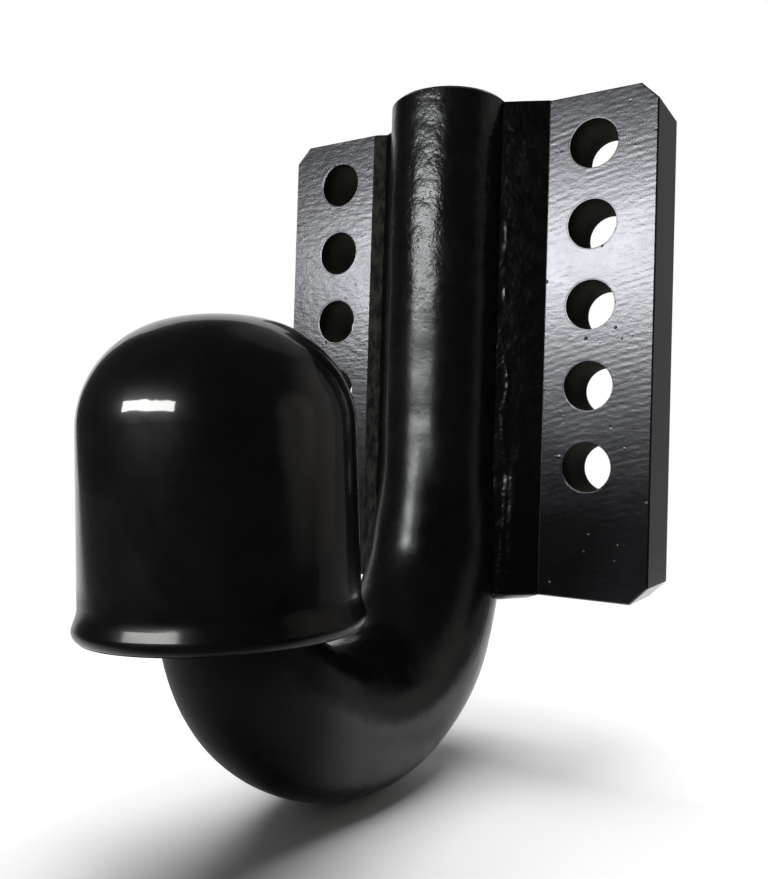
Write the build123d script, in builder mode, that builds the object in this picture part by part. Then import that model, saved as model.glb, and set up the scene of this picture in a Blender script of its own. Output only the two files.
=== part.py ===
from build123d import *

import math
import os

# Bolt-on swan-neck tow ball for a 50 mm trailer coupling, with its push-on ball cap.
#
# A forged round bar is let into the front of a thick steel mounting plate and held there by
# two long groove welds. Near the foot of the plate the bar thickens, swings forwards through a
# U-bend and narrows into the neck of the ball. The plate has two columns of five holes, so the
# ball can be bolted to its bracket at three heights. A loose plastic cap covers the ball.
#
# Millimetres. +Z is up and the ball stands out along -Y, away from the vehicle. The origin lies
# on the mounting face, the back of the plate, in the middle of the hole pattern.

# Mounting plate, cut from 150 x 25 flat bar
plate_width = 150.0
plate_height = 175.0
plate_thickness = 25.0
plate_corner_cut = 6.0
plate_edge_break = 0.5
hole_diameter = 17.0
hole_pitch = 28.0
hole_rows = 5
hole_columns = 2
hole_column_spacing = 106.0
hole_edge_break = 0.5
top_hole_to_edge = 17.75

# Swan neck, forged from round bar
bar_diameter = 43.0
bar_axis_ahead_of_plate = 6.0
bar_top_above_plate = 1.5
bar_top_chamfer = 1.0
taper_start_z = -60.0
bend_start_z = -75.5
bend_step = 45.0
bend_radii = (64.0, 50.0, 67.0)
bend_diameters = (46.8, 51.0, 47.8, 40.8, 29.0)
stations_per_arc = 3
shank_stations = 8

# Coupling ball, at the end of the neck
ball_diameter = 50.0
ball_reach = 150.0
ball_centre_z = -47.0
ball_flat_height = 22.2
neck_fillet = 5.0

# Bevelled groove in the plate, and the welds that fill most of it
bar_seat_clearance = 0.25
groove_edge_x = 37.2
groove_root_x = 15.0
groove_depth = 9.5
weld_toe_x = 32.4
weld_crown_x = 19.0
weld_crown_height = 4.2
weld_foot_height = 13.0
weld_bulge = 1.3
weld_foot_bulge = 2.2
weld_end_past_plate = 0.6
weld_foot_below_plate = 2.2
weld_foot_toe_x = 29.0

# Ball cap, one moulded shell with ribs that grip the ball
cap_radius = 34.6
cap_wall = 2.5
cap_crown_radius = 80.0
cap_shoulder_radius = 27.7
cap_top_above_ball = 26.5
cap_bottom_below_ball = 51.5
cap_rim_slope = 20.0
cap_rim_flare = 1.25
cap_rim_blend_radius = 8.0
cap_rim_edge_radius = 2.5
cap_rim_edge_turn = 95.0
cap_rib_count = 6
cap_rib_thickness = 2.4
cap_rib_bottom_below_ball = 14.0
cap_rib_lead_in = 3.0
cap_rib_inner_radius = 14.0
cap_ball_clearance = 0.4
cap_lean_about_x = 0.6
cap_lean_about_y = -3.4

# Places worked out from the sizes above
plate_front_y = -plate_thickness
plate_top_z = hole_pitch * (hole_rows - 1) / 2 + top_hole_to_edge
plate_bottom_z = plate_top_z - plate_height
plate_middle_z = (plate_top_z + plate_bottom_z) / 2
bar_axis_y = plate_front_y - bar_axis_ahead_of_plate
bar_radius = bar_diameter / 2
bar_top_z = plate_top_z + bar_top_above_plate
ball_radius = ball_diameter / 2
neck_radius = bend_diameters[-1] / 2
ball_centre = (0, -ball_reach, ball_centre_z)
ball_foot_z = ball_centre_z - math.sqrt(ball_radius**2 - neck_radius**2)

os.makedirs("parts", exist_ok=True)


def forward_run(radius, start_angle, end_angle):
    """How far an arc carries the bar forwards while it turns from one heading to the next."""
    return radius * (math.cos(math.radians(start_angle)) - math.cos(math.radians(end_angle)))


# The bend is four arcs of 45 degrees. The last one brings the neck under the ball.
covered = sum(
    forward_run(radius, index * bend_step, (index + 1) * bend_step)
    for index, radius in enumerate(bend_radii)
)
left_to_run = ball_reach + bar_axis_y - covered
last_radius = left_to_run / forward_run(1, 3 * bend_step, 4 * bend_step)

with BuildLine(Plane.YZ) as centre_line:
    shank = Line((bar_axis_y, bar_top_z), (bar_axis_y, bend_start_z))
    bend_arcs = []
    run_in = shank
    for radius in (*bend_radii, last_radius):
        run_in = JernArc(start=run_in @ 1, tangent=run_in % 1, radius=radius, arc_size=-bend_step)
        bend_arcs.append(run_in)


def shank_sections():
    """Planes and radii down the straight shank, which thickens just before the bend."""
    straight_length = bar_top_z - taper_start_z
    for index in range(shank_stations + 1):
        z = bar_top_z - straight_length * index / shank_stations
        yield Plane(origin=(0, bar_axis_y, z), x_dir=(1, 0, 0), z_dir=(0, 0, -1)), bar_radius


def arc_sections(arcs):
    """Planes and radii along the bend, ending at the foot of the ball."""
    for index, arc in enumerate(arcs):
        start_radius = bend_diameters[index] / 2
        growth = bend_diameters[index + 1] / 2 - start_radius
        for step in range(stations_per_arc):
            along = step / stations_per_arc
            plane = Plane(origin=arc @ along, x_dir=(1, 0, 0), z_dir=arc % along)
            yield plane, start_radius + growth * along
    end = Plane(origin=arcs[-1] @ 1, x_dir=(1, 0, 0), z_dir=arcs[-1] % 1)
    yield end, bend_diameters[len(arcs)] / 2


def round_sections(sections, extra_radius=0.0):
    """Discs for a loft along the bar."""
    discs = []
    for plane, radius in sections:
        with BuildSketch(plane) as section:
            Circle(radius + extra_radius)
        discs.append(section.sketch)
    return discs


# Swan neck
with BuildPart() as swan_neck:
    loft(round_sections((*shank_sections(), *arc_sections(bend_arcs))))
    chamfer(swan_neck.edges().sort_by(Axis.Z)[-1], bar_top_chamfer)
    with BuildSketch(Plane(origin=bend_arcs[-1] @ 1)):
        Circle(neck_radius)
    extrude(amount=ball_centre_z - (bend_arcs[-1] @ 1).Z)
    with Locations(ball_centre):
        Sphere(ball_radius)
    under_ball = swan_neck.edges().filter_by_position(Axis.Z, ball_foot_z - 0.1, ball_foot_z + 0.1)
    fillet(under_ball, neck_fillet)
    with BuildSketch(Plane(origin=ball_centre).offset(ball_flat_height)):
        Circle(ball_radius)
    extrude(amount=ball_radius, mode=Mode.SUBTRACT)

# Space that the bar takes up in the plate, with the play that the welds fill
with BuildPart() as bar_seat:
    seat_sections = (*shank_sections(), *arc_sections(bend_arcs[:1]))
    loft(round_sections(seat_sections, bar_seat_clearance))

# Mounting plate
with BuildPart() as mounting_plate:
    with BuildSketch(Plane.XZ) as outline:
        with Locations((0, plate_middle_z)):
            Rectangle(plate_width, plate_height)
        chamfer(outline.vertices(), plate_corner_cut)
    extrude(amount=plate_thickness)
    faces_across = mounting_plate.faces().filter_by(Axis.Y)
    chamfer(faces_across.edges(), plate_edge_break)
    with BuildSketch(Plane.XZ):
        with GridLocations(hole_column_spacing, hole_pitch, hole_columns, hole_rows):
            Circle(hole_diameter / 2)
    extrude(amount=plate_thickness, mode=Mode.SUBTRACT)
    hole_rims = mounting_plate.edges().filter_by(GeomType.CIRCLE)
    chamfer(hole_rims, hole_edge_break)
    with BuildSketch(Plane.XY.offset(plate_bottom_z)):
        with BuildLine():
            Polyline(
                (-groove_edge_x, plate_front_y),
                (-groove_root_x, plate_front_y + groove_depth),
                (groove_root_x, plate_front_y + groove_depth),
                (groove_edge_x, plate_front_y),
                close=True,
            )
        make_face()
    extrude(amount=plate_height, mode=Mode.SUBTRACT)
    add(bar_seat.part, mode=Mode.SUBTRACT)


def weld_section(z, toe_x, crown_height, bulge):
    """The weld's fill, from its toe on the groove's slope to the bar."""
    toe_depth = groove_depth * (groove_edge_x - toe_x) / (groove_edge_x - groove_root_x)
    toe = (toe_x, plate_front_y + toe_depth)
    root = (groove_root_x, plate_front_y + groove_depth)
    crown = (weld_crown_x, plate_front_y - crown_height)
    with BuildSketch(Plane.XY.offset(z)) as section:
        with BuildLine():
            face = SagittaArc(toe, crown, bulge)
            Polyline(face @ 1, root, toe)
        make_face()
    return section.sketch


# Right-hand weld, which thickens at its foot where the bar leaves the plate
with BuildPart() as weld_right:
    weld_top_z = plate_top_z + weld_end_past_plate
    weld_foot_z = plate_bottom_z - weld_foot_below_plate
    weld_top = weld_section(weld_top_z, weld_toe_x, weld_crown_height, weld_bulge)
    weld_waist = weld_section(taper_start_z, weld_toe_x, weld_crown_height, weld_bulge)
    weld_base = weld_section(plate_bottom_z, weld_toe_x, weld_foot_height, weld_foot_bulge)
    weld_foot = weld_section(weld_foot_z, weld_foot_toe_x, weld_foot_height, weld_foot_bulge)
    loft([weld_top, weld_waist])
    loft([weld_waist, weld_base])
    loft([weld_base, weld_foot])
    add(swan_neck.part, mode=Mode.SUBTRACT)
    add(mounting_plate.part, mode=Mode.SUBTRACT)

# Left-hand weld
with BuildPart() as weld_left:
    mirror(weld_right.part, about=Plane.YZ)

# Ball cap, leaning a little on the ball as a loose cap does
cap_frame = Plane(origin=ball_centre).rotated((cap_lean_about_x, cap_lean_about_y, 0))
cap_profile_plane = Plane(
    origin=cap_frame.origin, x_dir=cap_frame.x_dir, z_dir=-cap_frame.y_dir
)
cap_axis = Axis(cap_frame.origin, cap_frame.z_dir)
cap_bottom = -cap_bottom_below_ball
shoulder_turn = math.degrees(
    math.acos((cap_radius - cap_shoulder_radius) / (cap_crown_radius - cap_shoulder_radius))
)
crown_drop = cap_crown_radius - (cap_crown_radius - cap_shoulder_radius) * math.sin(
    math.radians(shoulder_turn)
)
shoulder_z = cap_top_above_ball - crown_drop


def cap_outline(inset):
    """Half outline of the domed cap, moved inwards by the inset."""
    with BuildSketch(cap_profile_plane) as outline_half:
        with BuildLine():
            wall_x = cap_radius - inset
            side = Line((wall_x, cap_bottom), (wall_x, shoulder_z))
            shoulder = JernArc(
                start=side @ 1,
                tangent=side % 1,
                radius=cap_shoulder_radius - inset,
                arc_size=shoulder_turn,
            )
            crown = JernArc(
                start=shoulder @ 1,
                tangent=shoulder % 1,
                radius=cap_crown_radius - inset,
                arc_size=90 - shoulder_turn,
            )
            Polyline(crown @ 1, (0, cap_bottom), side @ 0)
        make_face()
    return outline_half.sketch


# Room for the ball and neck between the ribs, with a lead-in below
with BuildPart() as ball_room:
    with BuildSketch(cap_profile_plane):
        with BuildLine():
            room_radius = ball_radius + cap_ball_clearance
            mouth_z = -cap_rib_bottom_below_ball
            rib_top_z = math.sqrt(room_radius**2 - cap_rib_inner_radius**2)
            mouth = Polyline(
                (0, cap_bottom),
                (room_radius + cap_rib_lead_in, cap_bottom),
                (room_radius + cap_rib_lead_in, mouth_z),
                (room_radius, mouth_z + cap_rib_lead_in),
                (room_radius, 0),
            )
            over_ball = RadiusArc(mouth @ 1, (cap_rib_inner_radius, rib_top_z), -room_radius)
            Polyline(
                over_ball @ 1,
                (cap_rib_inner_radius, cap_top_above_ball),
                (0, cap_top_above_ball),
                (0, cap_bottom),
            )
        make_face()
    revolve(axis=cap_axis)

# Ribs inside the cap
with BuildPart() as cap_ribs:
    revolve(cap_outline(cap_wall / 2), axis=cap_axis)
    with BuildSketch(cap_frame.offset(-cap_rib_bottom_below_ball)):
        with PolarLocations(0, cap_rib_count // 2, angular_range=180):
            Rectangle(2 * cap_radius, cap_rib_thickness)
    extrude(amount=cap_rib_bottom_below_ball + cap_top_above_ball, mode=Mode.INTERSECT)
    add(ball_room.part, mode=Mode.SUBTRACT)

# The cap itself, whose rim flares out below a soft crease and turns under at its foot
slope = math.radians(cap_rim_slope)
under_turn = math.radians(cap_rim_edge_turn) - slope
blend_gain = cap_rim_blend_radius * (1 - math.cos(slope))
cone_length = (cap_rim_flare - blend_gain) / math.sin(slope)
rim_height = (
    cap_rim_blend_radius * math.sin(slope)
    + cone_length * math.cos(slope)
    + cap_rim_edge_radius * (math.sin(slope) + math.sin(under_turn))
)
with BuildPart() as ball_cap:
    revolve(cap_outline(0), axis=cap_axis)
    with BuildSketch(cap_profile_plane):
        with BuildLine():
            crease = (cap_radius, cap_bottom + rim_height)
            blend = JernArc(
                start=crease,
                tangent=(0, -1),
                radius=cap_rim_blend_radius,
                arc_size=cap_rim_slope,
            )
            cone = Line(blend @ 1, blend @ 1 + (blend % 1) * cone_length)
            edge = JernArc(
                start=cone @ 1,
                tangent=cone % 1,
                radius=cap_rim_edge_radius,
                arc_size=-cap_rim_edge_turn,
            )
            inside_x = cap_radius - cap_wall / 2
            Polyline(edge @ 1, (inside_x, cap_bottom), (inside_x, crease[1]), crease)
        make_face()
    revolve(axis=cap_axis)
    revolve(cap_outline(cap_wall), axis=cap_axis, mode=Mode.SUBTRACT)
    add(cap_ribs.part)

pieces = {
    "mounting_plate": mounting_plate,
    "swan_neck": swan_neck,
    "weld_right": weld_right,
    "weld_left": weld_left,
    "ball_cap": ball_cap,
}
for piece_name, piece in pieces.items():
    piece.part.label = piece_name
    export_step(piece.part, f"parts/{piece_name}.step")
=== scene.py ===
import collections
import math

import bmesh
import bpy
from mathutils import Matrix, Vector, noise


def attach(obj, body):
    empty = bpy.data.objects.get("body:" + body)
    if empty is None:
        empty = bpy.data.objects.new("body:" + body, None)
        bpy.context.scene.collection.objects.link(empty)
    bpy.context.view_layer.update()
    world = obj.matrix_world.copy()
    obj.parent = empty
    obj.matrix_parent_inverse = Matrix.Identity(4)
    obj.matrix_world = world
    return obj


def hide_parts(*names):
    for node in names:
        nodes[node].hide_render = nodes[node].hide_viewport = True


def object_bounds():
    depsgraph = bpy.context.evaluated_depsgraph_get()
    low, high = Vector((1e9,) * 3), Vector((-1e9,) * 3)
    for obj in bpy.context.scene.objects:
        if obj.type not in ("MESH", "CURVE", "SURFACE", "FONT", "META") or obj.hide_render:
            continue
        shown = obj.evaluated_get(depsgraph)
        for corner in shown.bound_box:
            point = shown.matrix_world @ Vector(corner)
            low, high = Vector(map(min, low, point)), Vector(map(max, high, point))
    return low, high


MM = 0.001

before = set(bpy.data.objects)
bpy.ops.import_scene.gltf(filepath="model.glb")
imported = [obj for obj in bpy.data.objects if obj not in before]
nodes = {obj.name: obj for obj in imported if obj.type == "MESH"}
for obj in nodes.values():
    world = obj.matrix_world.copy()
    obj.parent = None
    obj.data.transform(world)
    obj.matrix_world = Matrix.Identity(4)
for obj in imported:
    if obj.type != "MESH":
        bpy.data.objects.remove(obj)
cad_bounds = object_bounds()


class Paint:
    """A Principled material whose colour, roughness and relief come from procedural textures."""

    def __init__(self, name, specular, tint=(1, 1, 1), coat=0.0):
        self.material = bpy.data.materials.new(name)
        self.material.use_nodes = True
        self.tree = self.material.node_tree
        self.shader = self.tree.nodes["Principled BSDF"]
        self.shader.inputs["Specular IOR Level"].default_value = specular
        self.shader.inputs["Specular Tint"].default_value = (*tint, 1)
        self.shader.inputs["Coat Weight"].default_value = coat
        coordinates = self.tree.nodes.new("ShaderNodeTexCoord")
        self.position = coordinates.outputs["Object"]
        self.last_normal = None

    def drive(self, socket, value):
        self.link(value, self.shader.inputs[socket])

    def link(self, source, target):
        self.tree.links.new(source, target)

    def surface(self, shader):
        """Makes this shader the one that shows."""
        self.link(shader, self.tree.nodes["Material Output"].inputs["Surface"])

    def calculate(self, operation, first, second=None, clamp=False):
        node = self.tree.nodes.new("ShaderNodeMath")
        node.operation = operation
        node.use_clamp = clamp
        for socket, value in zip(node.inputs, (first, second)):
            if value is None:
                continue
            if isinstance(value, (int, float)):
                socket.default_value = value
            else:
                self.link(value, socket)
        return node.outputs[0]

    def plus(self, first, second):
        return self.calculate("ADD", first, second)

    def times(self, first, second):
        return self.calculate("MULTIPLY", first, second)

    def larger(self, first, second):
        return self.calculate("MAXIMUM", first, second)

    def smaller(self, first, second):
        return self.calculate("MINIMUM", first, second)

    def inverse(self, mask):
        return self.calculate("SUBTRACT", 1, mask)

    def mix(self, mask, low, high):
        """Low where the mask is 0 and high where it is 1. Each is a number or a socket."""
        return self.plus(self.times(mask, high), self.times(self.inverse(mask), low))

    def stretch(self, scale, shift=(0, 0, 0)):
        node = self.tree.nodes.new("ShaderNodeMapping")
        self.link(self.position, node.inputs["Vector"])
        node.inputs["Scale"].default_value = scale
        node.inputs["Location"].default_value = shift
        return node.outputs["Vector"]

    def cloud(self, feature, detail=2.0, roughness=0.5, vector=None):
        """Noise whose features are about the given size in metres."""
        node = self.tree.nodes.new("ShaderNodeTexNoise")
        node.inputs["Scale"].default_value = 1 / feature
        node.inputs["Detail"].default_value = detail
        node.inputs["Roughness"].default_value = roughness
        self.link(vector or self.position, node.inputs["Vector"])
        return node.outputs["Fac"]

    def cells(self, feature, vector=None):
        """Distance to the nearest of scattered points, about one feature apart."""
        node = self.tree.nodes.new("ShaderNodeTexVoronoi")
        node.inputs["Scale"].default_value = 1 / feature
        self.link(vector or self.position, node.inputs["Vector"])
        return node.outputs["Distance"]

    def remap(self, value, low, high, to_low=0.0, to_high=1.0):
        """A smooth step from one value to another, and level on both sides of it."""
        node = self.tree.nodes.new("ShaderNodeMapRange")
        node.interpolation_type = "SMOOTHSTEP"
        self.link(value, node.inputs["Value"])
        node.inputs["From Min"].default_value = low
        node.inputs["From Max"].default_value = high
        node.inputs["To Min"].default_value = to_low
        node.inputs["To Max"].default_value = to_high
        return node.outputs["Result"]

    def fall(self, value, low, high):
        """1 below the low value and 0 above the high one."""
        return self.remap(value, low, high, 1.0, 0.0)

    def axis(self, name):
        node = self.tree.nodes.new("ShaderNodeSeparateXYZ")
        self.link(self.position, node.inputs[0])
        return node.outputs[name]

    def distance(self, scale, shift):
        """Distance from a point or line, with the position scaled and shifted first."""
        node = self.tree.nodes.new("ShaderNodeVectorMath")
        node.operation = "LENGTH"
        self.link(self.stretch(scale, shift), node.inputs[0])
        return node.outputs["Value"]

    def colour(self, value, stops):
        node = self.tree.nodes.new("ShaderNodeValToRGB")
        ramp = node.color_ramp
        while len(ramp.elements) < len(stops):
            ramp.elements.new(0.5)
        for element, (place, rgb) in zip(ramp.elements, stops):
            element.position = place
            element.color = (*rgb, 1)
        self.link(value, node.inputs["Fac"])
        self.link(node.outputs["Color"], self.shader.inputs["Base Color"])

    def darken(self, amount):
        """Scales the colour by a value from 0 to 1."""
        base = self.shader.inputs["Base Color"]
        scaled = self.tree.nodes.new("ShaderNodeVectorMath")
        scaled.operation = "SCALE"
        self.link(base.links[0].from_socket, scaled.inputs[0])
        self.link(amount, scaled.inputs["Scale"])
        self.link(scaled.outputs["Vector"], base)

    def dull(self, amount, colour):
        """Lays a thin matt film over the paint, as thick as the amount from 0 to 1. It carries
        dust, and also painted shade and painted light.
        """
        film = self.tree.nodes.new("ShaderNodeBsdfDiffuse")
        film.inputs["Color"].default_value = (*colour, 1)
        self.link(self.last_normal, film.inputs["Normal"])
        self.blend(amount, film.outputs["BSDF"])

    def blend(self, amount, shader):
        """Shows another shader by an amount from 0 to 1, and the paint by the rest."""
        both = self.tree.nodes.new("ShaderNodeMixShader")
        self.link(amount, both.inputs["Fac"])
        self.link(self.shader.outputs["BSDF"], both.inputs[1])
        self.link(shader, both.inputs[2])
        self.surface(both.outputs["Shader"])

    def bump(self, height, distance):
        """Adds a layer of relief, its full height in metres, over the layers before it."""
        node = self.tree.nodes.new("ShaderNodeBump")
        node.inputs["Distance"].default_value = distance
        self.link(height, node.inputs["Height"])
        if self.last_normal:
            self.link(self.last_normal, node.inputs["Normal"])
        self.last_normal = node.outputs["Normal"]
        self.link(self.last_normal, self.shader.inputs["Normal"])
        self.link(self.last_normal, self.shader.inputs["Coat Normal"])


# Levels of the noise over which a smudge goes from its least to its most
SMUDGE_LOW = 0.25
SMUDGE_HIGH = 0.75

# Forged skin, rougher up the shank
SKIN_ROUGH_FROM = 25 * MM
SKIN_SMOOTH_FROM = -20 * MM
SMOOTH_SKIN_RELIEF = 0.12
SMOOTH_PEEL_RELIEF = 0.40
FORGED_LUMPS = 4.5 * MM
FORGED_LUMP_HEIGHT = 0.35 * MM
ORANGE_PEEL = 1.3 * MM
ORANGE_PEEL_HEIGHT = 0.05 * MM
FORGED_PITS = 3.2 * MM
FORGED_PIT_EDGE = 0.22
FORGED_PIT_DEPTH = 0.06 * MM
FORGED_WAVES = 14 * MM
FORGED_WAVE_HEIGHT = 0.25 * MM

# Gentle swell of the shank above the bend, as steps of relief: bottom, top and height
SHANK_SWELL = (
    (-66 * MM, -36 * MM, 1.80 * MM),
    (-62 * MM, -14 * MM, 1.40 * MM),
    (-90 * MM, -60 * MM, 0.70 * MM),
)

# Painted shade on the bend's underside: a dark matt film that dims its reflection of the floor
UNDERSIDE_Y = (-136 * MM, -110 * MM)
UNDERSIDE_Z = (-104 * MM, -97 * MM)
UNDERSIDE_PAINTED_SHADE = 0.75
UNDERSIDE_PAINTED_SHADE_COLOUR = (0.003, 0.003, 0.003)


def forging_paint():
    """Gloss paint over a forged skin, with painted shade on the bend's underside."""
    paint = Paint("forging_gloss_black", specular=0.34, tint=(0.93, 0.97, 1.0))
    y, z = paint.axis("Y"), paint.axis("Z")
    skin = paint.remap(z, SKIN_SMOOTH_FROM, SKIN_ROUGH_FROM, SMOOTH_SKIN_RELIEF, 1.0)
    lumps = paint.cloud(FORGED_LUMPS, detail=3.0, roughness=0.55)
    peel = paint.cloud(ORANGE_PEEL)
    pits = paint.fall(paint.cells(FORGED_PITS), 0.0, FORGED_PIT_EDGE)
    paint.bump(paint.times(lumps, skin), FORGED_LUMP_HEIGHT)
    paint.bump(paint.times(peel, paint.larger(skin, SMOOTH_PEEL_RELIEF)), ORANGE_PEEL_HEIGHT)
    paint.bump(paint.times(pits, skin), -FORGED_PIT_DEPTH)
    paint.bump(paint.cloud(FORGED_WAVES, detail=1.0), FORGED_WAVE_HEIGHT)
    for bottom, top, height in SHANK_SWELL:
        paint.bump(paint.fall(z, bottom, top), height)

    smudge = paint.cloud(feature=9 * MM, detail=4.0, roughness=0.6)
    roughness = paint.remap(smudge, SMUDGE_LOW, SMUDGE_HIGH, to_low=0.22, to_high=0.29)
    paint.drive("Roughness", roughness)
    paint.colour(smudge, ((0.3, (0.0012, 0.0012, 0.0014)), (0.8, (0.0026, 0.0026, 0.0029))))
    # Painted shade: a dark matt layer on the bend's underside dims its reflection of the floor
    shaded_underside = paint.times(paint.fall(y, *UNDERSIDE_Y), paint.fall(z, *UNDERSIDE_Z))
    paint.dull(paint.times(shaded_underside, UNDERSIDE_PAINTED_SHADE), UNDERSIDE_PAINTED_SHADE_COLOUR)
    return paint.material


# Places on the plate
PLATE_FRONT = -25 * MM
PLATE_TOP = max(v.co.z for v in nodes["mounting_plate"].data.vertices)
PLATE_BOTTOM = min(v.co.z for v in nodes["mounting_plate"].data.vertices)
HOLE_X = 53 * MM
HOLE_PITCH = 28 * MM
HOLE_RADIUS = 8.5 * MM
HOLE_ROWS_BEGIN = (-72 * MM, -70 * MM)
BORE_MARGIN = 0.12 * MM
LIP_WIDTH = 0.52 * MM
LIP_HEIGHT = 0.50 * MM
GROOVE_EDGE = (37.0 * MM, 37.4 * MM)
FACE_MARGIN = (0.04 * MM, 0.12 * MM)
FRONT_MARGIN = (0.01 * MM, 0.20 * MM)
BACK_MARGIN = (0.2 * MM, 0.6 * MM)

# The saw's curved marks, which are stronger on the right wing
WINGS = (-35 * MM, 35 * MM)
SAW_CENTRE_X = 130 * MM
SAW_CENTRE_Z = -300 * MM
SAW_MARK_PITCH = 2.3271 * MM
SAW_MARK_HEIGHT = 0.0065 * MM
SAW_MARK_WANDER = 5.0
SAW_MARK_BENDS = 22 * MM
SAW_MARK_PATCHES = 11 * MM
LEFT_SAW_MARKS = 0.12

# Wavelets of the paint, drawn out across the wings and stronger on the left one
WAVELETS = 1.9 * MM
WAVELET_HEIGHT = 0.055 * MM
WAVELET_STRETCH = 0.45
LEFT_WAVELETS = 1.7
GRAIN = 0.8 * MM
GRAIN_HEIGHT = 0.022 * MM

# Scattered pits and nibs, and the rough skin of the groove
PLATE_PITS = 8.5 * MM
PLATE_PIT_EDGE = 0.09
PLATE_PIT_DEPTH = 0.20 * MM
NIBS = 5.5 * MM
NIB_EDGE = 0.13
NIB_HEIGHT = 0.14 * MM
NIB_PATCHES = 13 * MM
NIB_SHIFT = (0.31, 0.2, 0.1)
GROOVE_SKIN = 1.6 * MM
GROOVE_SKIN_HEIGHT = 0.5 * MM

# Bores and groove are rough. A dust-coloured matt film lies in both: in the groove it is dust, and
# in the bores it is painted light, thickest half way in, where light falls in from behind the plate
FACE_SPECULAR = 0.70
SMOOTHER_BELOW = (-80 * MM, -35 * MM)
LOWEST_ROUGHNESS = 0.82
ROUGH_SPECULAR = 0.035
ROUGH_ROUGHNESS = 0.70
DUST_AND_LIGHT_FILM_COLOUR = (0.055, 0.052, 0.042)
BORE_LIGHT_FRONT = (-24 * MM, -15 * MM)
BORE_LIGHT_BACK = (-13 * MM, -4 * MM)
GROOVE_STREAKS = 2.6 * MM
STREAK_STRETCH = 0.4


def bore_masks(paint, z, from_middle):
    """Where the bores are, and a step that rises across the broken edge round each hole."""
    across = paint.calculate("SUBTRACT", from_middle, HOLE_X)
    along = paint.calculate("PINGPONG", z, HOLE_PITCH / 2)
    squares = paint.plus(paint.times(across, across), paint.times(along, along))
    radius = paint.calculate("SQRT", squares)
    rows = paint.remap(z, *HOLE_ROWS_BEGIN)
    bores = paint.times(paint.fall(radius, HOLE_RADIUS, HOLE_RADIUS + BORE_MARGIN), rows)
    step = paint.remap(radius, HOLE_RADIUS, HOLE_RADIUS + LIP_WIDTH)
    return bores, paint.larger(step, paint.inverse(rows))


def groove_mask(paint, y, z, from_middle):
    """Where the groove's own surfaces are, without the plate's front, back, top and bottom."""
    groove = paint.fall(from_middle, *GROOVE_EDGE)
    near, far = FRONT_MARGIN
    groove = paint.times(groove, paint.remap(y, PLATE_FRONT + near, PLATE_FRONT + far))
    near, far = BACK_MARGIN
    groove = paint.times(groove, paint.fall(y, -far, -near))
    near, far = FACE_MARGIN
    groove = paint.times(groove, paint.fall(z, PLATE_TOP - far, PLATE_TOP - near))
    return paint.times(groove, paint.remap(z, PLATE_BOTTOM + near, PLATE_BOTTOM + far))


def saw_marks(paint, x):
    """Curved marks round the saw's centre, in patches."""
    from_saw = paint.distance((1, 0, 1), (-SAW_CENTRE_X, 0, -SAW_CENTRE_Z))
    wander = paint.times(paint.cloud(SAW_MARK_BENDS), SAW_MARK_WANDER)
    turn = paint.plus(paint.times(from_saw, 2 * math.pi / SAW_MARK_PITCH), wander)
    patches = paint.remap(paint.cloud(SAW_MARK_PATCHES), low=0.36, high=0.62)
    strength = paint.times(patches, paint.remap(x, *WINGS, LEFT_SAW_MARKS, 1.0))
    return paint.times(paint.calculate("SINE", turn), strength)


def plate_relief(paint, x, groove, lip):
    """Everything that stands out of the plate or is sunk in it."""
    paint.bump(saw_marks(paint, x), SAW_MARK_HEIGHT)
    drawn_out = paint.stretch((WAVELET_STRETCH, 1, 1))
    wavelets = paint.cloud(WAVELETS, vector=drawn_out)
    by_wing = paint.remap(x, *WINGS, LEFT_WAVELETS, 1.0)
    paint.bump(paint.times(wavelets, by_wing), WAVELET_HEIGHT)
    paint.bump(paint.cloud(GRAIN, roughness=0.6), GRAIN_HEIGHT)
    pits = paint.fall(paint.cells(PLATE_PITS), 0.0, PLATE_PIT_EDGE)
    elsewhere = paint.stretch((1, 1, 1), NIB_SHIFT)
    nibs = paint.fall(paint.cells(NIBS, elsewhere), 0.0, NIB_EDGE)
    nib_patches = paint.remap(paint.cloud(NIB_PATCHES, vector=elsewhere), low=0.50, high=0.60)
    paint.bump(pits, -PLATE_PIT_DEPTH)
    paint.bump(paint.times(nibs, nib_patches), NIB_HEIGHT)
    skin = paint.cloud(GROOVE_SKIN, detail=3.0, roughness=0.6)
    paint.bump(paint.times(skin, groove), GROOVE_SKIN_HEIGHT)
    paint.bump(lip, -LIP_HEIGHT)


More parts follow.
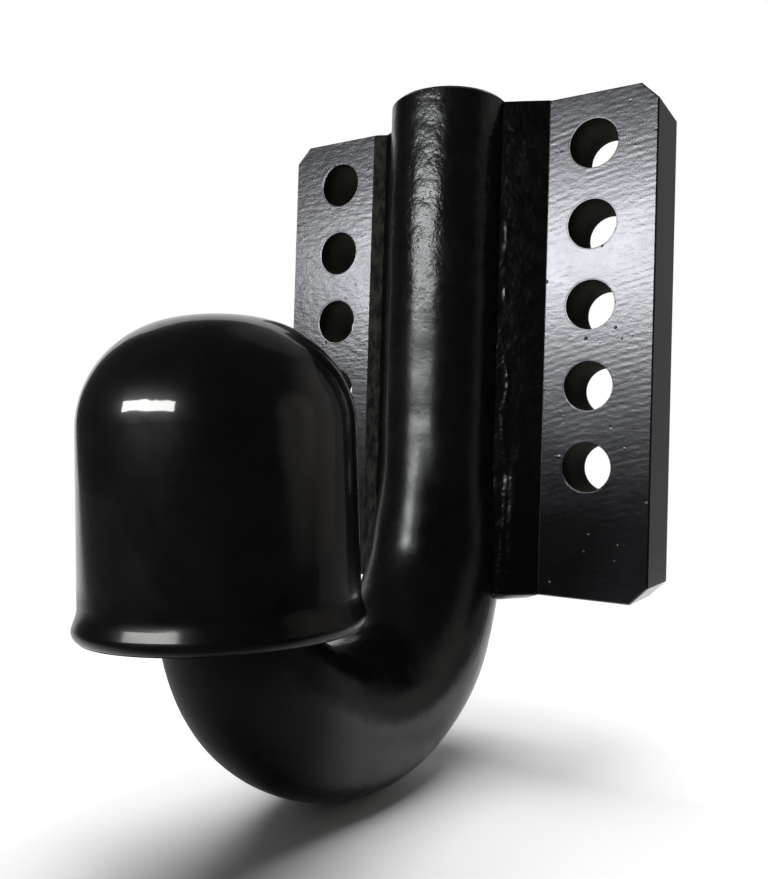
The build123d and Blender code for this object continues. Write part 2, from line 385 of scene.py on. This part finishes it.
def plate_paint():
    """Satin paint through which the marks, pits and nibs of the flat bar show, with painted light
    in the bores.
    """
    paint = Paint("plate_satin_black", specular=FACE_SPECULAR, tint=(0.89, 0.92, 1.0))
    x, y, z = paint.axis("X"), paint.axis("Y"), paint.axis("Z")
    from_middle = paint.calculate("ABSOLUTE", x)
    bores, lip = bore_masks(paint, z, from_middle)
    groove = groove_mask(paint, y, z, from_middle)
    rough_place = paint.larger(bores, groove)
    plate_relief(paint, x, groove, lip)

    smudge = paint.cloud(feature=12 * MM, detail=5.0, roughness=0.65)
    face_roughness = paint.remap(smudge, SMUDGE_LOW, SMUDGE_HIGH, to_low=0.235, to_high=0.275)
    by_height = paint.remap(z, *SMOOTHER_BELOW, to_low=LOWEST_ROUGHNESS, to_high=1.0)
    face_roughness = paint.times(face_roughness, by_height)
    paint.drive("Roughness", paint.mix(rough_place, face_roughness, ROUGH_ROUGHNESS))
    paint.drive("Specular IOR Level", paint.mix(rough_place, FACE_SPECULAR, ROUGH_SPECULAR))
    paint.colour(smudge, ((0.25, (0.0014, 0.0014, 0.0018)), (0.8, (0.0030, 0.0030, 0.0037))))

    # Painted light in the bores: the matt film is thickest half way in, where light falls in from
    # behind the plate
    light_past_bore_front = paint.remap(y, *BORE_LIGHT_FRONT, to_low=0.06, to_high=0.9)
    light_short_of_bore_back = paint.remap(y, *BORE_LIGHT_BACK, to_low=1.0, to_high=0.25)
    bore_painted_light = paint.times(light_past_bore_front, light_short_of_bore_back)
    upright = paint.stretch((1, 1, STREAK_STRETCH))
    streaks = paint.cloud(GROOVE_STREAKS, detail=3.0, roughness=0.65, vector=upright)
    groove_dust = paint.remap(streaks, low=0.36, high=0.66, to_low=0.07, to_high=0.42)
    # The film carries the groove's dust and the bores' painted light
    dust = paint.plus(paint.times(bores, bore_painted_light), paint.times(groove, groove_dust))
    paint.dull(dust, DUST_AND_LIGHT_FILM_COLOUR)
    return paint.material


def weld_paint():
    """Gloss paint over the weld."""
    paint = Paint("weld_gloss_black", specular=0.24)
    paint.bump(paint.cloud(feature=0.8 * MM), distance=0.03 * MM)
    paint.bump(paint.cloud(feature=3.0 * MM), distance=0.12 * MM)
    smudge = paint.cloud(feature=5 * MM, detail=4.0)
    roughness = paint.remap(smudge, SMUDGE_LOW, SMUDGE_HIGH, to_low=0.19, to_high=0.26)
    paint.drive("Roughness", roughness)
    paint.colour(smudge, ((0.3, (0.0007, 0.0007, 0.0008)), (0.8, (0.0016, 0.0016, 0.0017))))
    return paint.material


# The cap's shoulder leans a little further than in the CAD, and its rim is duller than its wall
SHOULDER_Z = (-60 * MM, -34 * MM)
SHOULDER_LEAN = 0.78 * MM
RIM_Z = (-90 * MM, -86 * MM)
RIM_COAT = 0.20
RIM_COAT_ROUGHNESS = 0.13
WALL_COAT = 0.6
WALL_COAT_ROUGHNESS = 0.06
MOULDED_WAVES = 7 * MM
MOULDED_WAVE_HEIGHT = 0.012 * MM
MOULDED_GRAIN = 0.5 * MM
MOULDED_GRAIN_HEIGHT = 0.0004 * MM
DUST_SPACING = 2.6 * MM
DUST_EDGE = 0.05
DUST_ROUGHNESS = 0.12


def cap_plastic():
    """Smooth moulded plastic with faint smudges and dust."""
    paint = Paint("cap_gloss_black", specular=0.10, coat=WALL_COAT)
    z = paint.axis("Z")
    paint.bump(paint.fall(z, *SHOULDER_Z), SHOULDER_LEAN)
    paint.bump(paint.cloud(MOULDED_WAVES, detail=1.0), MOULDED_WAVE_HEIGHT)
    paint.bump(paint.cloud(MOULDED_GRAIN), MOULDED_GRAIN_HEIGHT)
    paint.drive("Coat Weight", paint.remap(z, *RIM_Z, RIM_COAT, WALL_COAT))
    coat_roughness = paint.remap(z, *RIM_Z, RIM_COAT_ROUGHNESS, WALL_COAT_ROUGHNESS)
    paint.drive("Coat Roughness", coat_roughness)
    dust = paint.fall(paint.cells(DUST_SPACING), 0.0, DUST_EDGE)
    smudge = paint.cloud(feature=10 * MM, detail=5.0, roughness=0.62)
    roughness = paint.remap(smudge, low=0.3, high=0.8, to_low=0.26, to_high=0.34)
    paint.drive("Roughness", paint.plus(roughness, paint.times(dust, DUST_ROUGHNESS)))
    paint.colour(smudge, ((0.3, (0.0010, 0.0010, 0.0012)), (0.8, (0.0022, 0.0022, 0.0022))))
    return paint.material


def dress(node_name, material):
    """Gives a CAD node its finished material."""
    mesh = nodes[node_name].data
    mesh.materials.clear()
    mesh.materials.append(material)


dress("swan_neck", forging_paint())
dress("mounting_plate", plate_paint())
dress("ball_cap", cap_plastic())

# Welds, whose beads replace the plain fills of the CAD. Across the weld, 0 is the toe on the
# plate's bevel and 1 is the crown inside the bar. The photo shows the right one's bead plainly.
WeldShape = collections.namedtuple(
    "WeldShape", "mirror seed toe_x toe_depth crown_height relief")
WELD_SHAPES = {
    "right": WeldShape(1, 1.7, 36.7 * MM, 0.22 * MM, 7.2 * MM, 1.0),
    "left": WeldShape(-1, 5.3, 32.4 * MM, 2.05 * MM, 4.2 * MM, 0.25),
}
CROWN_X = 19.0 * MM
ROOT_X = 15.0 * MM
ROOT_DEPTH = 9.45 * MM
WELD_TOP = 74.3 * MM
WELD_WAIST = -60.0 * MM
WELD_FOOT = -103.4 * MM
FOOT_TOE_X = 31.0 * MM
FOOT_TOE_DEPTH = 2.6 * MM
FOOT_CROWN_HEIGHT = 13.0 * MM
BULGE = 0.2 * MM
FOOT_BULGE = 1.6 * MM
END_ROUND = 1.2 * MM
STEPS_ACROSS = 56
STEP_ALONG = 0.35 * MM

# Noise along the weld, in features per metre, and what keeps each from another's line
SWAY_RATE = 70
PATCH_RATE = 150
DROP_RATE = 165
LUMP_RATE = 210
SLIP_RATE = 260
FINE_RATE = 620
DROP_OFFSET = 3
PATCH_OFFSET = 7
SLIP_OFFSET = 11
SLIP_ACROSS = 3

# Depths below the frame's origin between which the ripples and the foot come in
RIPPLES_FROM, RIPPLES_FULL = 34 * MM, 60 * MM
FOOT_FROM, FOOT_FULL = 44 * MM, 76 * MM

# A plateau at the foot, a seam beside the bar and a ridge between: height, place and width,
# the last two as shares of the weld's width
PLATEAU_HEIGHT, PLATEAU_PLACE, PLATEAU_WIDTH = 0.8 * MM, 0.42, 0.16
SEAM_HEIGHT, SEAM_PLACE, SEAM_WIDTH = 0.24 * MM, 0.745, 0.020
SEAM_SWAY = 0.010
RIDGE_HEIGHT, RIDGE_PLACE, RIDGE_WIDTH = 0.30 * MM, 0.725, 0.040
RIDGE_SWAY = 0.012
RIDGE_SHIFT_BELOW = 0.10
RIDGE_SHIFT_AT_FOOT = 0.03
RIDGE_LEAST = 0.35

# Drops along the ridge's upper half, and a hook where it turns aside
DROPS_TOP = 60 * MM
DROPS_BEGIN = 0.12
DROPS_GAIN = 2.2
HOOK_Z = -27 * MM
HOOK_LENGTH = 8 * MM
HOOK_SHIFT = 0.10
HOOK_HEIGHT = 0.20 * MM

# Ripples, which lag behind towards the toe
RIPPLE_PITCH = 2.1 * MM
RIPPLE_LAG = 7.0 * MM
RIPPLE_LAG_FROM = 0.62
RIPPLE_SWAY = 0.9 * MM
RIPPLE_SLIP = 0.35 * MM
RIPPLE_HEIGHT = 0.13 * MM
RIPPLE_HEIGHT_ABOVE = 0.008 * MM
RIPPLE_LEAST = 0.2
RIPPLE_FADES_IN = (0.24, 0.52)
RIPPLE_FADES_OUT = (0.68, 0.78)
PATCH_MIDDLE = 0.45
PATCH_CONTRAST = 1.3

# Lumps and a fine roughness all over
LUMP_HEIGHT_ABOVE = 0.08 * MM
LUMP_HEIGHT_BELOW = 0.20 * MM
FINE_HEIGHT = 0.06 * MM
LUMPS_ACROSS = 5
FINE_ACROSS = 14
LUMPS_FADE_IN = (0.02, 0.25)
TOE_RAGGEDNESS = 0.45 * MM


def ease(value, low, high):
    """Smooth rise from 0 to 1 between two values."""
    t = min(1.0, max(0.0, (value - low) / (high - low)))
    return t * t * (3 - 2 * t)


def hump(value, place, width):
    return math.exp(-(((value - place) / width) ** 2))


def between(low, high, share):
    return low + (high - low) * share


def waver(x, y, z):
    """Smooth noise from -1 to 1."""
    return noise.noise(Vector((x, y, z)))


def weld_relief(s, z, shape):
    """Height of the bead's ridges and ripples over the smooth fill.

    Each noise lies on its own line, so that none of them keeps step with another.
    """
    seed = shape.seed
    lower = ease(-z, RIPPLES_FROM, RIPPLES_FULL)
    foot = ease(-z, FOOT_FROM, FOOT_FULL)
    sway = waver(seed, z * SWAY_RATE, 0.0)
    slip = waver(seed + SLIP_OFFSET, z * SLIP_RATE, s * SLIP_ACROSS)
    patch = PATCH_MIDDLE + PATCH_CONTRAST * waver(seed + PATCH_OFFSET, z * PATCH_RATE, 1.0)
    patch = min(1.0, max(0.0, patch))
    drops = max(0.0, waver(seed + DROP_OFFSET, z * DROP_RATE, 2.0) - DROPS_BEGIN)
    drops *= DROPS_GAIN * ease(DROPS_TOP - z, 0, DROPS_TOP)
    hook = hump(z, HOOK_Z, HOOK_LENGTH)

    plateau = PLATEAU_HEIGHT * foot * hump(s, PLATEAU_PLACE, PLATEAU_WIDTH)
    seam = SEAM_HEIGHT * hump(s, SEAM_PLACE + SEAM_SWAY * sway, SEAM_WIDTH) * lower * patch
    place = RIDGE_PLACE - HOOK_SHIFT * hook + RIDGE_SWAY * sway
    place -= RIDGE_SHIFT_BELOW * lower + RIDGE_SHIFT_AT_FOOT * foot
    height = RIDGE_HEIGHT * between(drops, between(RIDGE_LEAST, 1, patch), lower)
    height += HOOK_HEIGHT * hook
    ridge = height * hump(s, place, RIDGE_WIDTH)

    lag = RIPPLE_LAG * max(0.0, RIPPLE_LAG_FROM - s)
    turn = (z + lag + RIPPLE_SWAY * sway + RIPPLE_SLIP * slip) / RIPPLE_PITCH
    crest = 0.5 + 0.5 * math.sin(2 * math.pi * turn)
    spread = ease(s, *RIPPLE_FADES_IN) * (1 - ease(s, *RIPPLE_FADES_OUT))
    ripple = RIPPLE_HEIGHT_ABOVE + RIPPLE_HEIGHT * lower * between(RIPPLE_LEAST, 1, patch)
    bead = plateau + seam + ridge + ripple * crest * spread

    lumps = between(LUMP_HEIGHT_ABOVE, LUMP_HEIGHT_BELOW, lower)
    lumps *= waver(s * LUMPS_ACROSS + seed, z * LUMP_RATE, 4.0)
    fine = FINE_HEIGHT * waver(s * FINE_ACROSS + seed, z * FINE_RATE, 9.0)
    return shape.relief * bead + (lumps + fine) * ease(s, *LUMPS_FADE_IN)


def weld_row(z, shape):
    """Points across the weld, from its toe on the plate's bevel to the root behind the bar."""
    down = min(1.0, max(0.0, (WELD_WAIST - z) / (WELD_WAIST - PLATE_BOTTOM)))
    past = max(0.0, (PLATE_BOTTOM - z) / (PLATE_BOTTOM - WELD_FOOT))
    crown = between(shape.crown_height, FOOT_CROWN_HEIGHT, down)
    bulge = between(BULGE, FOOT_BULGE, down)
    toe_x = between(shape.toe_x, FOOT_TOE_X, past)
    toe_depth = between(shape.toe_depth, FOOT_TOE_DEPTH, past)
    to_end = max(0.0, END_ROUND - min(WELD_TOP - z, z - WELD_FOOT)) / END_ROUND
    drop = END_ROUND * (1 - math.sqrt(max(0.0, 1 - to_end * to_end)))
    row = []
    for step in range(STEPS_ACROSS + 1):
        s = step / STEPS_ACROSS
        x = between(toe_x, CROWN_X, s)
        height = between(-toe_depth, crown, s) + 4 * bulge * s * (1 - s)
        height += weld_relief(s, z, shape) - drop
        if step == 0:
            x += TOE_RAGGEDNESS * waver(shape.seed, z * PATCH_RATE, 3.0)
        row.append(Vector((x, PLATE_FRONT - height, z)))
    row.append(Vector((ROOT_X, PLATE_FRONT + ROOT_DEPTH, z)))
    return row


def weld(side):
    """One groove weld."""
    shape = WELD_SHAPES[side]
    count = round((WELD_TOP - WELD_FOOT) / STEP_ALONG)
    mesh = bpy.data.meshes.new(f"weld_bead_{side}")
    work = bmesh.new()
    rows = []
    for index in range(count + 1):
        points = weld_row(between(WELD_TOP, WELD_FOOT, index / count), shape)
        rows.append([work.verts.new((p.x * shape.mirror, p.y, p.z)) for p in points])
    for upper, lower in zip(rows, rows[1:]):
        across = len(upper)
        for index in range(across):
            following = (index + 1) % across
            work.faces.new((upper[index], upper[following], lower[following], lower[index]))
    work.faces.new(rows[0])
    work.faces.new(rows[-1])
    bmesh.ops.recalc_face_normals(work, faces=work.faces)
    work.to_mesh(mesh)
    work.free()
    for polygon in mesh.polygons:
        polygon.use_smooth = len(polygon.vertices) == 4
    return place_mesh(f"weld_bead_{side}", mesh)


def place_mesh(name, mesh):
    """Puts a mesh into the scene under the given name."""
    piece = bpy.data.objects.new(name, mesh)
    bpy.context.scene.collection.objects.link(piece)
    return piece


weld_finish = weld_paint()
for side in WELD_SHAPES:
    bead = weld(side)
    bead.data.materials.append(weld_finish)
    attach(bead, "coupling")
    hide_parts(f"weld_{side}")

# Camera, at the photo's viewpoint
IMAGE_HEIGHT = 879
FOCAL_PIXELS = 868.0
SENSOR_WIDTH = 36
CAMERA_PLACE = Vector((149.94, -314.38, -53.93)) * MM
CAMERA_AIM = Vector((-6.734, -60.0, -48.465)) * MM
CAMERA_ROLL = math.radians(1.692)
NEAREST = 0.01
FARTHEST = 50

camera_data = bpy.data.cameras.new("camera")
camera_data.sensor_width = SENSOR_WIDTH
camera_data.lens = SENSOR_WIDTH * FOCAL_PIXELS / IMAGE_HEIGHT
camera_data.clip_start = NEAREST
camera_data.clip_end = FARTHEST
camera = bpy.data.objects.new("camera", camera_data)
bpy.context.scene.collection.objects.link(camera)
looking = (CAMERA_AIM - CAMERA_PLACE).normalized()
camera.matrix_world = (
    Matrix.Translation(CAMERA_PLACE)
    @ looking.to_track_quat("-Z", "Y").to_matrix().to_4x4()
    @ Matrix.Rotation(CAMERA_ROLL, 4, "Z")
)
bpy.context.scene.camera = camera

# Tabletop sweep: a floor that curves up behind the object
FLOOR_Z = cad_bounds[0].z
FLOOR_FRONT = -0.62
FLOOR_BACK = 0.75
SWEEP_RADIUS = 0.45
WALL_TOP = 1.5
SWEEP_LEFT = -1.35
SWEEP_RIGHT = 1.9
SWEEP_STEPS = 24
SWEEP_TURN = math.radians(25)

# In reflections the card turns grey beyond the photo's view: the direction on the floor, the
# distances where the grey begins and is full, and the brightness that is left
RIGHT_SHADE = ((0.99, 0.139), 0.112, 0.25, 0.19)
LEFT_SHADE = ((-0.30, -1.0), 0.205, 0.38, 0.12)
FRONT_SHADE = ((0.574, -0.819), 0.128, 0.21, 0.12)

# The card glows by itself away from this point, and near it takes the object's shadow
GLOW_CENTRE = Vector((0.0, -0.04, -0.1))
GLOW_BEGIN = 0.17
GLOW_FULL = 0.42


def sweep():
    """A floor with a wall behind it, joined by a quarter round."""
    profile = [(FLOOR_FRONT, FLOOR_Z)]
    for index in range(SWEEP_STEPS + 1):
        angle = math.pi / 2 * index / SWEEP_STEPS
        back = FLOOR_BACK + SWEEP_RADIUS * math.sin(angle)
        profile.append((back, FLOOR_Z + SWEEP_RADIUS * (1 - math.cos(angle))))
    profile.append((FLOOR_BACK + SWEEP_RADIUS, WALL_TOP))
    work = bmesh.new()
    left = [work.verts.new((SWEEP_LEFT, y, z)) for y, z in profile]
    right = [work.verts.new((SWEEP_RIGHT, y, z)) for y, z in profile]
    for index in range(len(profile) - 1):
        work.faces.new((left[index], right[index], right[index + 1], left[index + 1]))
    turn = Matrix.Rotation(SWEEP_TURN, 3, "Z")
    bmesh.ops.rotate(work, verts=work.verts, cent=(0, 0, 0), matrix=turn)
    mesh = bpy.data.meshes.new("sweep")
    work.to_mesh(mesh)
    work.free()
    for polygon in mesh.polygons:
        polygon.use_smooth = True
    return place_mesh("sweep", mesh)


def card_shade(paint, direction, begin, full, brightness):
    """Brightness of the card's reflection, which falls off along a direction on the floor."""
    x, y = paint.axis("X"), paint.axis("Y")
    along = paint.plus(paint.times(x, direction[0]), paint.times(y, direction[1]))
    return paint.remap(along, begin, full, 1.0, brightness)


def white_card():
    """White card that shows as pure white away from the object, to the eye and in reflections.

    The reflections turn grey where the photo's view ends.
    """
    paint = Paint("white_card", specular=0.1)
    paint.shader.inputs["Roughness"].default_value = 0.9
    clouds = paint.cloud(feature=0.08, detail=3.0)
    paint.colour(clouds, ((0.3, (0.93, 0.93, 0.93)), (0.7, (0.95, 0.95, 0.95))))
    path = paint.tree.nodes.new("ShaderNodeLightPath")
    nearer = paint.smaller(card_shade(paint, *LEFT_SHADE), card_shade(paint, *FRONT_SHADE))
    reflected = paint.times(card_shade(paint, *RIGHT_SHADE), nearer)
    shade = paint.mix(path.outputs["Is Glossy Ray"], 1.0, reflected)
    paint.darken(shade)

    away = paint.remap(paint.distance((1, 1, 1), -GLOW_CENTRE), GLOW_BEGIN, GLOW_FULL)
    seen = paint.plus(path.outputs["Is Camera Ray"], path.outputs["Is Glossy Ray"])
    seen = paint.calculate("ADD", seen, path.outputs["Is Transmission Ray"], clamp=True)
    glow = paint.tree.nodes.new("ShaderNodeEmission")
    paint.link(shade, glow.inputs["Strength"])
    paint.blend(paint.times(away, seen), glow.outputs["Emission"])
    return paint.material


floor = sweep()
floor.data.materials.append(white_card())

# Lamps. One strip makes every sharp reflection, and an end piece lengthens it for the plate
# alone. A soft lamp overhead lights the card.
LAMP_WHITE = (1.0, 0.99, 0.97)
STRIP_WIDTH = 0.62
STRIP_HEIGHT = 0.11
STRIP_X = -0.240
STRIP_POWER = 7.5
END_WIDTH = 0.11
END_X = STRIP_X - (STRIP_WIDTH + END_WIDTH) / 2
END_POWER = 0.75
STRIP_Y = -0.820
STRIP_Z = 0.210
STRIP_AIM_Z = -0.02
OVERHEAD_PLACE = (-0.10, 0.05, 1.20)
OVERHEAD_AIM = (0, 0.05, -0.15)
OVERHEAD_SIZE = 1.4
OVERHEAD_POWER = 30.0


def lamp(name, place, aim, width, height, power, colour=(1, 1, 1)):
    data = bpy.data.lights.new(name, "AREA")
    data.shape = "RECTANGLE"
    data.size = width
    data.size_y = height
    data.energy = power
    data.color = colour
    body = bpy.data.objects.new(name, data)
    bpy.context.scene.collection.objects.link(body)
    body.location = place
    body.rotation_euler = (Vector(aim) - Vector(place)).to_track_quat("-Z", "Y").to_euler()
    return body


def strip_lamp(name, x, width, power):
    """A lamp of the strip's height, which faces the object squarely."""
    place, aim = (x, STRIP_Y, STRIP_Z), (x, 0, STRIP_AIM_Z)
    return lamp(name, place, aim, width, STRIP_HEIGHT, power, LAMP_WHITE)


def group(name, pieces):
    """A collection of pieces that a lamp lights or is shaded by."""
    collection = bpy.data.collections.new(name)
    for piece in pieces:
        collection.objects.link(piece)
    return collection


part = [piece for piece in bpy.context.scene.objects if piece.type == "MESH" and piece is not floor]
part_without_cap = [piece for piece in part if piece is not nodes["ball_cap"]]
strip = strip_lamp("strip", STRIP_X, STRIP_WIDTH, STRIP_POWER)
strip.light_linking.receiver_collection = group("lit_by_strip", part)
strip.light_linking.blocker_collection = group("shades_strip", part_without_cap)
overhead = lamp(
    "overhead", OVERHEAD_PLACE, OVERHEAD_AIM, OVERHEAD_SIZE, OVERHEAD_SIZE, OVERHEAD_POWER)
overhead.visible_glossy = False
strip_end = strip_lamp("strip_end", END_X, END_WIDTH, END_POWER)
strip_end.light_linking.receiver_collection = group("lit_by_end", [nodes["mounting_plate"]])

# Soft patches of light in the dim room: direction, where they begin and are full, and colour
ROOM_COLOUR = (0.05, 0.05, 0.052)
ROOM_PATCHES = (
    ((0.92, 0.28, 0.28), 0.93, 0.985, (0.34, 0.32, 0.28)),
    ((0.30, 0.95, 0.05), 0.55, 0.85, (0.145, 0.135, 0.12)),
    ((0.60, 0.70, 0.40), 0.84, 0.98, (0.21, 0.195, 0.17)),
    ((0.00, 0.50, 0.87), 0.935, 0.98, (0.18, 0.18, 0.185)),
)


def vector_math(tree, operation, first, second):
    """A node that takes two sockets or values."""
    node = tree.nodes.new("ShaderNodeVectorMath")
    node.operation = operation
    for socket, value in ((node.inputs[0], first), (node.inputs[1], second)):
        if isinstance(value, bpy.types.NodeSocket):
            tree.links.new(value, socket)
        else:
            socket.default_value = value
    return node


def studio():
    """Dim surroundings, warmer and lighter to the right and behind."""
    world = bpy.data.worlds.new("studio")
    bpy.context.scene.world = world
    world.use_nodes = True
    tree = world.node_tree
    coordinates = tree.nodes.new("ShaderNodeTexCoord")
    room = tree.nodes.new("ShaderNodeRGB")
    room.outputs[0].default_value = (*ROOM_COLOUR, 1)
    total = room.outputs[0]
    for direction, begin, full, colour in ROOM_PATCHES:
        middle = Vector(direction).normalized()
        toward = vector_math(tree, "DOT_PRODUCT", coordinates.outputs["Generated"], middle)
        amount = tree.nodes.new("ShaderNodeMapRange")
        amount.interpolation_type = "SMOOTHSTEP"
        amount.inputs["From Min"].default_value = begin
        amount.inputs["From Max"].default_value = full
        tree.links.new(toward.outputs["Value"], amount.inputs["Value"])
        patch = tree.nodes.new("ShaderNodeVectorMath")
        patch.operation = "SCALE"
        patch.inputs[0].default_value = colour
        tree.links.new(amount.outputs["Result"], patch.inputs["Scale"])
        total = vector_math(tree, "ADD", total, patch.outputs["Vector"]).outputs["Vector"]
    tree.links.new(total, tree.nodes["Background"].inputs["Color"])


studio()
bpy.context.scene.view_settings.view_transform = "Standard"
